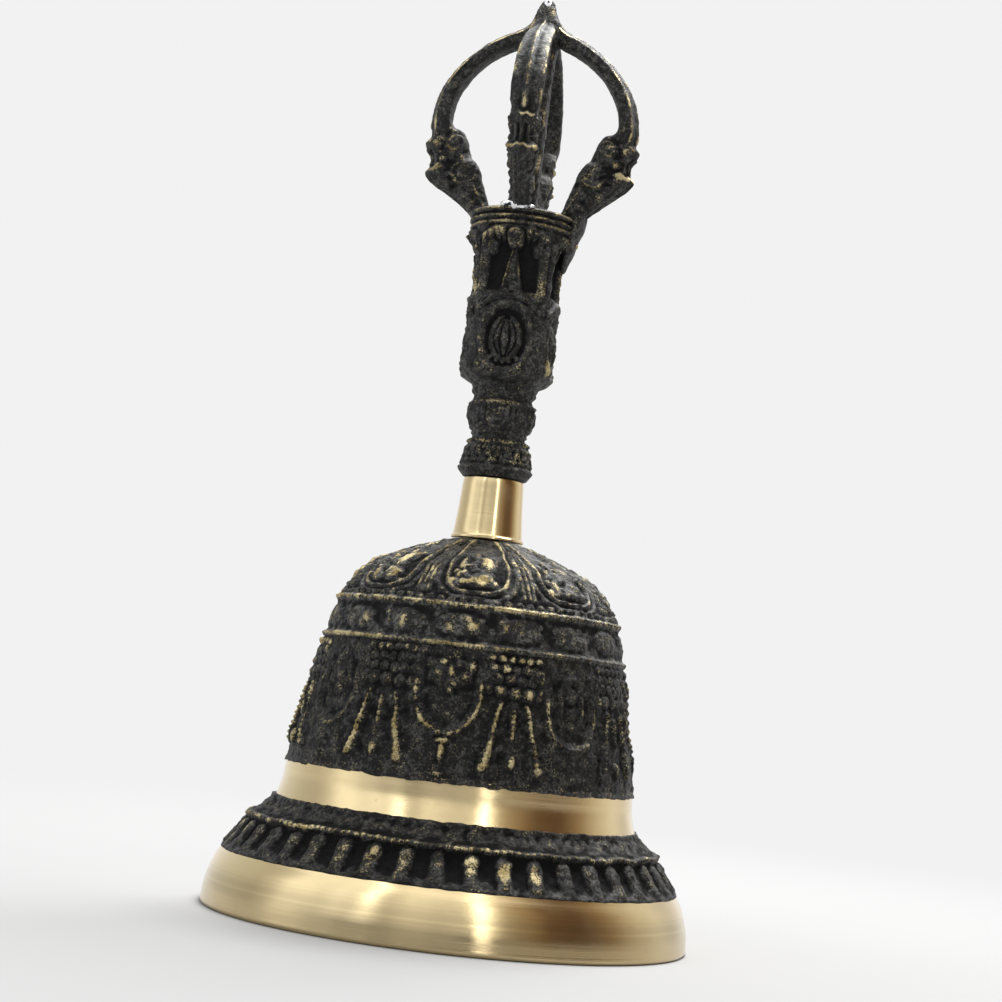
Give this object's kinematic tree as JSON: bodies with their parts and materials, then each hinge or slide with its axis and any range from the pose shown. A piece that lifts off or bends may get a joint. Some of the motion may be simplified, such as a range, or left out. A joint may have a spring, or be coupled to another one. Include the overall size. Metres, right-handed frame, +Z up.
{
  "type": "hand bell",
  "caption": "Hand bell on a handle of curved prongs that close on a centre spike, with a relief-cast cup, turned bands, and a clapper hung inside on a link.",
  "frame": {"origin": "centre of the rim's flat face, on the bell's axis, at its lowest point", "axes": "+Z up the bell's axis towards the tip of the handle; -Y is the front, where one prong and one petal of the dome stand; +X is to the right seen from the front"},
  "size_m": [0.0884, 0.0884, 0.1742],
  "materials": {
    "patina": "cast, blackened, rubbed bright on the high spots",
    "polished_brass": "turned and polished",
    "iron": "plain wire and rod, darkened"
  },
  "bodies": {
    "bell": {"bell_cup": "patina", "neck_ferrule": "polished_brass", "handle_grip": "patina", "tie_rod": "iron", "crown_washer": "iron", "crown_nut": "iron", "prong_right": "patina", "prong_back": "patina", "prong_left": "patina", "prong_front": "patina", "centre_spike": "patina"},
    "link": {"clapper_link": "iron"},
    "clapper": {"clapper_rod": "iron", "clapper_bob": "polished_brass"}
  },
  "joints": [
    {"name": "link_swing", "type": "hinge", "parent": "bell", "child": "link", "pos_m": [0, 0, 0.0509], "axis": [1, 0, 0], "range_deg": [-8, 8]},
    {"name": "clapper_swing", "type": "hinge", "parent": "link", "child": "clapper", "pos_m": [0, 0, 0.0451], "axis": [0, 1, 0], "range_deg": [-38, 38]}
  ]
}
